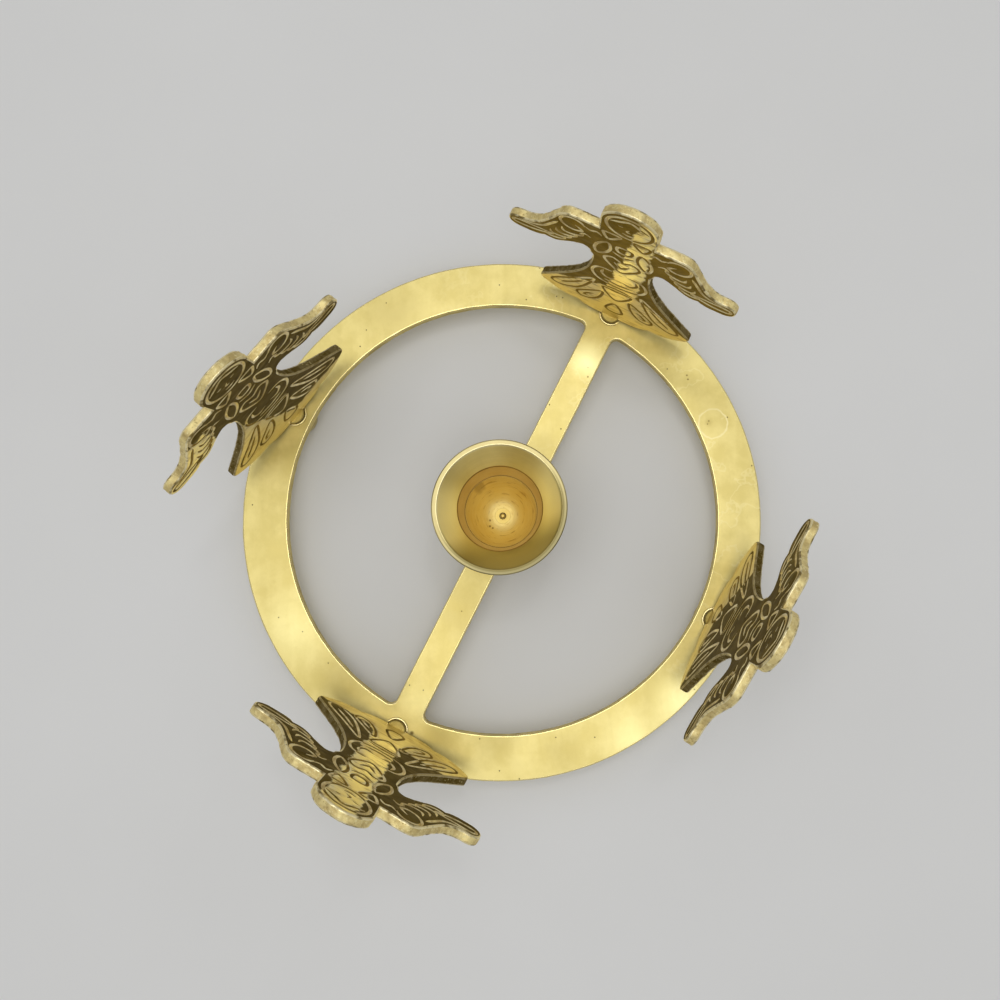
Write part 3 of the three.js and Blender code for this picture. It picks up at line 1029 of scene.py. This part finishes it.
# Where each angel's face is painted with a gold reflection of the ring. A region lies inside all of its
# edges, and an edge is (across, up, limit): the side where across * x + up * height is below the limit.
GOLD_REFLECTION_REGIONS = each(
    [[(1, 0, 5.2), (-1, 0.08, 5.4)], [(-0.6, 1, 29.5), (0.85, 1, 32)]],
    [[(1, 0, -14), (0, 1, 59)], [(1, 0.37, 4.9), (0, 1, 40)], [(0, 1, 9.5)]],
    [[(1, 0, 4.2), (-1, 0, 4.2)], [(0.14, 1, 18.5), (1, 0.6, 14)], [(0.1, 1, 13)]],
    [[(1, 1, 9.7)], [(0, 1, 11)]],
)
# Gold of each angel's painted reflection of the ring
GOLD = each((1, 0.78, 0.29), (0.68, 0.57, 0.24), (1, 0.86, 0.42), (0.66, 0.55, 0.24))

# One angel's face is painted warmer and browner than the others, a painted reflection of the gold ring
WARM_ANGEL = "angel_1"
WARM_PAINTED_DARK = (0.185, 0.116, 0.013)
WARM_PAINTED_BROWN = (0.29, 0.186, 0.027)
WARM_TAN_REFLECTION = (0.9, 0.69, 0.23)

# How soft the painted reflection's edges are, how far they wander and how much they fray
REFLECTION_EDGE_SOFT = 0.4
REFLECTION_EDGE_DRIFT = 2.2
REFLECTION_EDGE_FRAY = 3.2

# Heights over which the painted gold reflection deepens towards the hem, where it reflects the ring, and a
# painted highlight lightens it towards the head
HEM_FADE = (26, 14)
HEAD_FADE = (34, 44)


def gold_reflection_mask(f, name, number):
    """1 where a face is painted with the ring's gold reflection, 0 where it is painted dark."""
    across = f.axis("X")
    height = f.axis("Z")
    drift = (f.noise(6, 2, shift=number) - 0.5) * REFLECTION_EDGE_DRIFT
    drift = drift + (f.noise(1.7, 3, shift=number + 5) - 0.5) * REFLECTION_EDGE_FRAY
    mask = None
    for edges in GOLD_REFLECTION_REGIONS[name]:
        region = None
        for toward_x, upward, limit in edges:
            reach = across * toward_x + height * upward + drift
            part = f.step(reach, limit + REFLECTION_EDGE_SOFT, limit - REFLECTION_EDGE_SOFT)
            region = region * part if region else part
        mask = mask.math("MAXIMUM", mask, region) if mask else region
    return mask


def angel_face(name, number):
    """Polished cast face painted dark as a painted reflection of dark surroundings, with painted gold
    reflections of the ring in places.
    """
    f = Finish(name + "_face")
    gold = gold_reflection_mask(f, name, number)
    cloud = f.noise(4, 4, shift=number + 2)
    fleck = f.noise(0.8, 3, shift=number)
    warm = name == WARM_ANGEL
    dark_reflection = (WARM_PAINTED_DARK, WARM_PAINTED_BROWN) if warm else (PAINTED_DARK, PAINTED_BROWN)
    # Painted dark reflection, mottled
    dark = f.blend(f.step(cloud, 0.35, 0.7), *dark_reflection)
    light = f.blend(f.step(cloud, 0.35, 0.7), GOLD[name], WARM_TAN_REFLECTION if warm else TAN_REFLECTION)
    # Painted reflection of the ring, deeper near the hem
    light = f.blend(f.step(f.axis("Z"), *HEM_FADE) * 0.55, light, HEM_REFLECTION_GOLD)
    # Painted highlight towards the head
    light = f.blend(f.step(f.axis("Z"), *HEAD_FADE) * 0.8, light, HEAD_HIGHLIGHT_GOLD)
    ripple = f.noise(1, 2, f.stretched(4.2, 4.2, 1.5), number + 8)
    light = f.blend(f.step(ripple, 0.5, 0.66) * 0.7, light, RIPPLED_GOLD)
    dark = f.blend(f.step(ripple, 0.54, 0.7) * 0.5, dark, PAINTED_DARK_RIPPLE)
    normal = f.bump(cloud + fleck * 0.12, 0.25, 0.25)
    return f.wear(base_color=f.blend(gold, dark, light), metallic=gold, roughness=0.26 + fleck * 0.12,
                  specular_ior_level=PAINTED_DARK_GLOSS, normal=normal)


def carved_line(name, number):
    """The cut of a carved line: painted highlight where the face is painted dark, painted shade across the
    painted gold.
    """
    f = Finish(name + "_line")
    gold = gold_reflection_mask(f, name, number)
    stain = f.step(f.noise(3, 4, shift=number), 0.38, 0.66)
    grain = f.noise(0.5, 2)
    # Painted highlight in the cut, stained in places
    bright = f.blend(stain, CUT_HIGHLIGHT, CUT_STAINED_HIGHLIGHT)
    # Painted shade in the cut
    shadowed = f.blend(stain, CUT_SHADE, WARM_PAINTED_BROWN if name == WARM_ANGEL else PAINTED_BROWN)
    tone = f.blend(gold, bright, shadowed)
    return f.wear(base_color=tone, metallic=1 - gold, roughness=0.28 + grain * 0.14,
                  specular_ior_level=PAINTED_DARK_GLOSS, normal=f.bump(grain, 0.3, 0.08))


# Height below which the skirt's sides carry painted shade, and above which the corners are brightened most
SKIRT_SIDE_H = 45


def worn_edge(name, number):
    """The rounded corner between a face and a side, brightened in places as wear and painted highlight,
    most on the head and wings.
    """
    f = Finish(name + "_corner")
    high = f.step(f.axis("Z"), SKIRT_SIDE_H - 4, SKIRT_SIDE_H)
    rubbed_and_highlit = f.step(f.noise(2.4, 4, shift=number + 4), 0.36, 0.54) * (0.3 + high * 0.7)
    grit = f.noise(0.6, 3, shift=number)
    # Wear and painted edge highlight
    tone = f.blend(rubbed_and_highlit, CORNER_DARK, CORNER_WEAR_AND_HIGHLIGHT)
    normal = f.bump(grit, 0.5, 0.15)
    return f.metal(tone, 0.34 + grit * 0.2, normal)


def cast_edge(name, number):
    """Rough sand-cast edge: pale on the head and wings, with painted shade down the skirt's sides."""
    f = Finish(name + "_edge")
    height = f.axis("Z")
    grit = f.noise(0.55, 4, shift=number)
    coarse = f.noise(2.6, 4, shift=number + 1)
    stain = f.noise(5, 3, shift=number + 2)
    pale = f.blend(f.step(coarse, 0.38, 0.66) * 0.8, CAST_BRASS, CAST_TAN)
    pale = f.blend(f.step(stain, 0.45, 0.68) * 0.5, pale, CAST_STAIN)
    pale = f.blend(f.step(grit, 0.54, 0.7) * 0.8, pale, CAST_GLINT)
    pale = f.blend(f.step(grit, 0.42, 0.3) * 0.7, pale, CAST_HOLLOW)
    shaded_skirt = f.blend(f.step(coarse, 0.4, 0.62), SHADED_SKIRT_EDGE, PAINTED_DARK)
    glint = f.step(grit, 0.58, 0.7)
    shaded_skirt = f.blend(glint, shaded_skirt, SHADED_SKIRT_GLINT)
    # Painted shade on the skirt's sides, below the skirt-side height
    low = f.step(height + (stain - 0.5) * 8, SKIRT_SIDE_H + 3, SKIRT_SIDE_H - 3)
    normal = f.bump(f.noise(1.6, 4, shift=number + 3) + grit * 0.5, 0.7, 0.3)
    return f.wear(base_color=f.blend(low, pale, shaded_skirt), metallic=1 - low * (1 - glint), normal=normal,
                  roughness=0.52 + grit * 0.2, specular_ior_level=PAINTED_DARK_GLOSS)


# Pieces

def half_moon(side):
    """One opening beside the bar, clockwise so that the plate lies on its left."""
    inner_r = RING_HIGH.x - RING_BAND
    bar_y = BAR_WIDTH / 2 + side * BAR_OFFSET
    fillet_y = bar_y + BAR_CORNER_R
    fillet_x = math.sqrt((inner_r - BAR_CORNER_R) ** 2 - fillet_y ** 2)
    meet = math.degrees(math.atan2(fillet_y, fillet_x))
    points = arc(fillet_x, fillet_y, BAR_CORNER_R, -90, meet)
    points += arc(0, 0, inner_r, meet, 180 - meet, OPENING_STEP)[1:-1]
    points += arc(-fillet_x, fillet_y, BAR_CORNER_R, 180 - meet, 270)
    points += [(-fillet_x + 2 * fillet_x * i / BAR_POINTS, bar_y) for i in range(1, BAR_POINTS)]
    return points[::-1] if side > 0 else [(x, -y) for x, y in points]


def ring_piece():
    outer = arc(0, 0, RING_HIGH.x, 0, 360, 2 * math.pi * RING_HIGH.x / RING_POINTS)[:-1]
    holes = [half_moon(1), half_moon(-1), arc(0, 0, SCREW_HOLE_R, 360, 0)[:-1]]
    for spot in STATIONS.values():
        holes.append(arc(spot.x, spot.y, STUD_HOLE_R, 360, 0)[:-1])
    points, faces, slots = plate_mesh([outer, *holes], [], PLATE_T, RING_EDGE_R, RING_ROUGH)
    place = Matrix.Translation((0, 0, (RING_TOP - PLATE_T / 2) * MM))
    finishes = [ring_face(), filed_edge(), filed_edge(), ring_side()]
    piece = soften(mesh_piece("brass_ring", points, faces, slots, finishes, place), sharp_deg=40)
    return fit(piece, "base", "ring_brass", "ring_plate")


def cup_place():
    """Where the cup stands, with the slight lean that its screw has let it take."""
    away = math.radians(90 - VIEW_TURN_DEG)
    lean = Matrix.Rotation(math.radians(CUP_LEAN_DEG), 4, (-math.sin(away), math.cos(away), 0))
    return Matrix.Translation(in_picture(*CUP_SHIFT, 0)) @ lean


def cup_piece():
    belly_r = SOCKET_END_R + CUP_WALL
    mouth_h = CUP_H - FUNNEL_DEPTH
    step_h = mouth_h - SOCKET_STEP_DEPTH
    bowl_r = SOCKET_END_R - SOCKET_LEDGE
    bowl_h = step_h - FLOOR_T
    bowl = round_over(0, 0, 1, 0, -90, 20)
    outside, lip, funnel, mouth, socket, ledge, floor = range(7)
    stretches = [
        (outside, [(SCREW_R + SCREW_FIT, 0), (CUP_BASE_R, 0)]),
        (outside, round_over(belly_r - CUP_WALL, CUP_WALL, CUP_WALL, -60, 0)),
        (outside, [(belly_r, BOWL_DEPTH), (MOUTH_R + CUP_WALL, mouth_h - CUP_WALL)]),
        (lip, round_over(CUP_RIM_R - LIP_R, CUP_H - LIP_R, LIP_R, -45, 90, 8)),
        (funnel, round_over(CUP_RIM_R - LIP_W, CUP_H - LIP_CREASE_DROP, LIP_CREASE_R, 60, 120, 3)),
        (mouth, [(MOUTH_R + MOUTH_BEVEL, mouth_h + MOUTH_BEVEL)]),
        (socket, [(MOUTH_R, mouth_h - EASE)]),
        (ledge, [(bowl_r + 2 * EASE, step_h + EASE)]),
        (floor, [(BOWL_FLAT_R + (bowl_r - BOWL_FLAT_R) * across, FLOOR_T + bowl_h * (1 + down))
                 for across, down in bowl]),
        (floor, [(SCREW_R + 1.5 * SCREW_FIT, FLOOR_T), (SCREW_R + SCREW_FIT, FLOOR_T - EASE)]),
    ]
    points, faces, slots = turned(stretches, CUP_SIDES)
    finishes = [
        turned_brass("cup_outside", SATIN_BRASS, OLIVE_BRASS, 0.3),
        cup_lip(),
        cup_funnel(),
        turned_brass("cup_mouth", MOUTH_BROWN, MOUTH_DARK, 0.45),
        turned_brass("cup_socket", SOCKET_PALE, SOCKET_AMBER, 0.5),
        turned_brass("cup_ledge", LEDGE_SHADE, LEDGE_DEEP_SHADE, 0.5),
        socket_bowl(),
    ]
    piece = soften(mesh_piece("candle_socket", points, faces, slots, finishes, cup_place()), sharp_deg=30)
    return fit(piece, "base", "cup_brass", "candle_cup")


def cup_screw_piece():
    head_top = -PLATE_T
    head_low = head_top - SCREW_HEAD_H
    edge = SCREW_HEAD_EDGE
    nib_top = FLOOR_T + NIB_H
    groove_h = FLOOR_T - NIB_GROOVE_DEPTH
    shank, groove = range(2)
    stretches = [
        (shank, [(0, head_low)]),
        (shank, round_over(SCREW_HEAD_R - edge, head_low + edge, edge, -90, 0, 4)),
        (shank, [(SCREW_HEAD_R, head_top), (SCREW_R, head_top)]),
        (shank, [(SCREW_R, FLOOR_T - SCREW_FIT), (SCREW_R - SCREW_FIT, FLOOR_T)]),
        (groove, [(NIB_R + NIB_GROOVE_W, FLOOR_T)]),
        (groove, [(NIB_R + 0.7 * NIB_GROOVE_W, groove_h), (NIB_R + EASE / 2, groove_h)]),
        (shank, round_over(NIB_R - NIB_EDGE, nib_top - NIB_EDGE, NIB_EDGE, 0, 90, 4)),
        (shank, [(0, nib_top)]),
    ]
    points, faces, slots = turned(stretches, FOOT_SIDES)
    finishes = [
        turned_brass("screw_brass", SCREW_BRASS, SCREW_SATIN, 0.5),
        turned_brass("nib_groove", GROOVE_SHADE, GROOVE_DEEP_SHADE, 0.5),
    ]
    piece = mesh_piece("holding_screw", points, faces, slots, finishes, cup_place())
    slot_box = bpy.data.meshes.new("screw_slot")
    work = bmesh.new()
    bmesh.ops.create_cube(work, size=MM)
    bmesh.ops.scale(work, verts=work.verts, vec=(3 * SCREW_HEAD_R, SLOT_W, 2 * SLOT_DEPTH))
    bmesh.ops.translate(work, verts=work.verts, vec=(0, 0, head_low * MM))
    work.to_mesh(slot_box)
    work.free()
    combine(piece, slot_box, "DIFFERENCE")
    return fit(soften(piece, sharp_deg=30), "base", "screw_brass", "cup_screw")


def foot_piece(number, spot, finish):
    collar_h = FOOT_H - FOOT_COLLAR_H
    bun_r = collar_h / 2
    stud_top = RING_TOP + STUD_REACH
    profile = [(0, 0), (FOOT_BASE_R - FOOT_EDGE, 0)]
    profile += round_over(FOOT_BASE_R - FOOT_EDGE, FOOT_EDGE, FOOT_EDGE, -80, -20, 3)
    for across, along in round_over(0, 0, 1, -FOOT_BUN_DEG, FOOT_BUN_DEG, 16):
        floor_r = FOOT_BASE_R if along < 0 else FOOT_NECK_R
        profile.append((floor_r + (FOOT_BELLY_R - floor_r) * across, bun_r + bun_r * along))
    profile += [(FOOT_NECK_R, collar_h - FOOT_CREASE), (FOOT_NECK_R + EASE, collar_h)]
    profile += round_over(FOOT_COLLAR_R - FOOT_EDGE, collar_h + FOOT_EDGE, FOOT_EDGE, -80, 0, 4)
    profile += [(FOOT_COLLAR_R, FOOT_H - COLLAR_BEVEL), (FOOT_COLLAR_R - COLLAR_BEVEL, FOOT_H)]
    profile += [(STUD_R, FOOT_H), (STUD_R, stud_top - STUD_TIP)]
    profile += [(STUD_R - STUD_TIP, stud_top), (0, stud_top)]
    points, faces, slots = turned([(0, profile)], FOOT_SIDES)
    place = Matrix.Translation((spot.x * MM, spot.y * MM, 0))
    piece = soften(mesh_piece(f"bun_foot_{number}", points, faces, slots, [finish], place), sharp_deg=35)
    return fit(piece, "base", "foot_brass", f"foot_{number}")


def boss_mesh(finishes):
    """The round boss under the hem, on a thin rim, with its hole and a hair-thin bore above it."""
    side, top, rim = 3, 4, 5
    edge = BOSS_RIM_EDGE
    corner = BOSS_CORNER_R
    stretches = [
        (side, [(STUD_HOLE_R, SEAT_GAP)]),
        (rim, round_over(BOSS_RIM_R - edge, SEAT_GAP + edge, edge, -90, 0, 3)),
        (rim, round_over(BOSS_RIM_R - edge, BOSS_RIM_H - edge, edge, 0, 90, 4)),
        (side, [(BOSS_R + EASE / 2, BOSS_RIM_H), (BOSS_R, BOSS_RIM_H + EASE)]),
        (top, round_over(BOSS_R - corner, BOSS_H - corner, corner, 0, 90, 5)),
        (side, [(BOSS_BORE_R, BOSS_H), (BOSS_BORE_R, BOSS_HOLE_H), (STUD_HOLE_R, BOSS_HOLE_H)]),
    ]
    points, faces, slots = turned(stretches, BOSS_SIDES)
    return metre_mesh("boss", points, faces, slots, finishes)


def bent_skirt(name, point):
    """A point of a standing angel, moved as its skirt came out of the mould."""
    share = max(0, 1 - point.z / ARMPIT_H)
    twist = Matrix.Rotation(math.radians(SKIRT_TWIST_DEG[name] * share), 3, "Z")
    return twist @ point + share * Vector((*SKIRT_SHIFT[name], 0))


def angel_piece(name, number, outline, lines):
    seed = 10 * number
    points, faces, slots = plate_mesh([outline], lines, ANGEL_T, ANGEL_EDGE_R, ANGEL_ROUGH, seed)
    tipped = Matrix.Rotation(math.radians(TIP_DEG[name]), 3, "Z")
    upright = Matrix.Rotation(math.radians(90 - LEAN_DEG[name]), 3, "X") @ tipped
    aside = Vector((SLIP[name], 0, 0))
    points = [tuple(bent_skirt(name, upright @ Vector(p)) + aside) for p in points]
    # Painted shade: this share dims the boss's colours
    tone = BOSS_PAINTED_LIGHT[name]
    finishes = [
        angel_face(name, number),
        carved_line(name, number),
        worn_edge(name, number),
        cast_edge(name, number),
        turned_brass(name + "_boss", dimmed(BOSS_BRASS, tone), dimmed(BOSS_TARNISH, tone), 0.42),
        turned_brass(name + "_rim", BOSS_RIM, PALE_BRASS, 0.24),
    ]
    spot = STATIONS[name]
    facing = math.atan2(spot.y, spot.x) - math.pi / 2 + math.radians(TURN_DEG[name])
    foot_top = Matrix.Translation((spot.x * MM, spot.y * MM, RING_TOP * MM))
    place = foot_top @ Matrix.Rotation(facing, 4, "Z")
    piece = mesh_piece("carved_" + name, points, faces, slots, finishes, place)
    combine(piece, boss_mesh(finishes), "UNION")
    return fit(soften(piece, sharp_deg=50), name, "angel_brass", name)


# Studio

# The camera's place, in millimetres to the picture's right and top and above the ring
CAMERA_AT = (8.69, -12.16, 268)
CAMERA_TILT_DEG = (5.354, -1.558)
LENS = 33.264
SENSOR_W = 36
SHIFT = (-0.0589, -0.0285)
NEAREST = 0.01

# Lights as (name, place like the camera's, size in metres, power in watts), all aimed at one point
LIGHTS = [
    ("bar_light", (60, 176, 600), 0.06, 0.13),
    ("top_light", (-60, 30, 800), 0.5, 1.5),
    ("edge_light", (130, -230, 800), 0.25, 0.3),
]
LIGHT_AIM = Vector((0, 0, 0.02))
WORLD_LIGHT = 0.5
FLOOR_HALF_W = 3


def camera():
    """The photograph's view: from above, with the crossbar turned in the picture."""
    lens = bpy.data.cameras.new("camera")
    lens.lens = LENS
    lens.sensor_width = SENSOR_W
    lens.shift_x, lens.shift_y = SHIFT
    lens.clip_start = NEAREST
    eye = put("camera", lens)
    eye.location = in_picture(*CAMERA_AT)
    eye.rotation_euler = (*(math.radians(a) for a in CAMERA_TILT_DEG), math.radians(-VIEW_TURN_DEG))
    bpy.context.scene.camera = eye


def softbox(name, at, size, power):
    lamp = bpy.data.lights.new(name, "AREA")
    lamp.size = size
    lamp.energy = power
    box = put(name, lamp)
    box.location = in_picture(*at)
    box.rotation_euler = (LIGHT_AIM - box.location).to_track_quat("-Z", "Y").to_euler()


def studio():
    mesh = bpy.data.meshes.new("floor")
    corners = [(-1, -1), (1, -1), (1, 1), (-1, 1)]
    mesh.from_pydata([(FLOOR_HALF_W * x, FLOOR_HALF_W * y, 0) for x, y in corners], [], [(0, 1, 2, 3)])
    floor = put("floor", mesh)
    f = Finish("pale_floor")
    tone = f.blend(f.noise(60, 3), FLOOR_GREY, FLOOR_PALE)
    mesh.materials.append(f.wear(base_color=tone, roughness=0.7))

    world = bpy.data.worlds.new("studio")
    world.use_nodes = True
    sky = world.node_tree.nodes["Background"]
    sky.inputs["Color"].default_value = (1, 1, 1, 1)
    sky.inputs["Strength"].default_value = WORLD_LIGHT
    bpy.context.scene.world = world
    for light in LIGHTS:
        softbox(*light)
    bpy.context.scene.view_settings.view_transform = "Standard"


ring_piece()
cup_piece()
cup_screw_piece()
foot_finish = turned_brass("foot_brass", SATIN_BRASS, OLIVE_BRASS, 0.28)
angel_shape = angel_outline()
angel_lines = carved_lines()
for number, (name, spot) in enumerate(sorted(STATIONS.items()), 1):
    foot_piece(number, spot, foot_finish)
    angel_piece(name, number, angel_shape, angel_lines)
camera()
studio()
